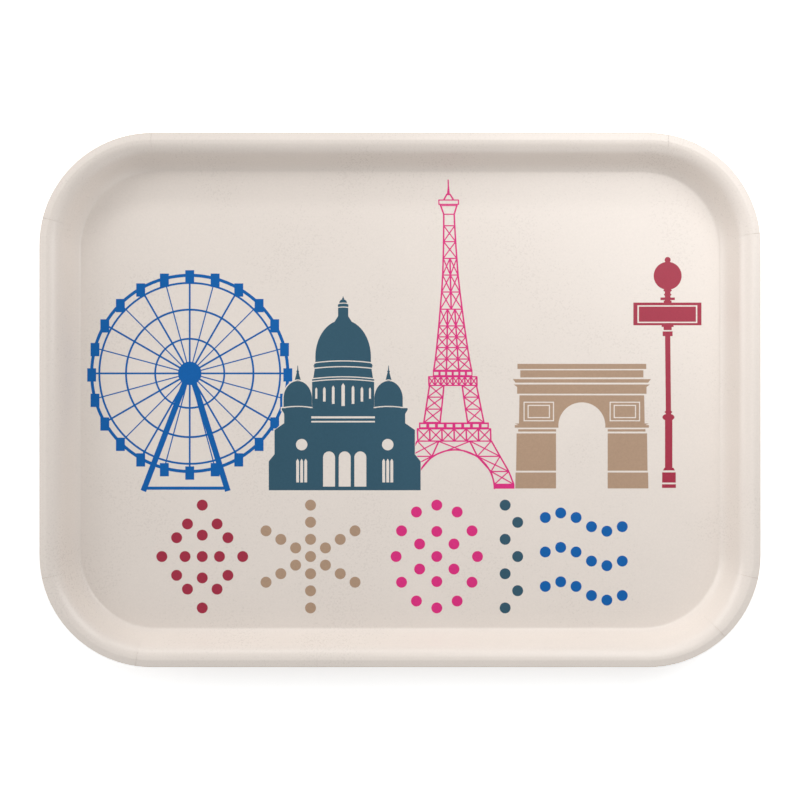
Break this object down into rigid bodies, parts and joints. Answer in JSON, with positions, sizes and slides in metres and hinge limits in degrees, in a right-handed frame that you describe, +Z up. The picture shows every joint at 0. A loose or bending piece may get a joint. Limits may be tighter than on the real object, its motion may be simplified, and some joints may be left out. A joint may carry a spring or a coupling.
{
  "type": "serving tray",
  "caption": "Shallow rectangular serving tray with rounded corners, a flat floor and a softly rolled rim, pressed from a bonded laminate.",
  "frame": {"origin": "centre of the flat underside, on the surface that the tray stands on", "axes": "+X along the long side, +Y along the short side towards the top of the printed picture, +Z up out of the serving face"},
  "size_m": [0.27, 0.2, 0.015],
  "materials": {
    "decor_melamine": "satin",
    "underlay_paper": "matte",
    "birch_long_grain": "satin",
    "birch_cross_grain": "satin",
    "backing_melamine": "satin",
    "ink_blue": "satin",
    "ink_teal": "satin",
    "ink_magenta": "satin",
    "ink_tan": "satin",
    "ink_crimson": "satin"
  },
  "bodies": {
    "root": {"decor_sheet": "decor_melamine", "underlay_sheet": "underlay_paper", "veneer_1": "birch_long_grain", "veneer_2": "birch_cross_grain", "veneer_3": "birch_long_grain", "veneer_4": "birch_cross_grain", "veneer_5": "birch_long_grain", "backing_sheet": "backing_melamine"}
  },
  "joints": []
}
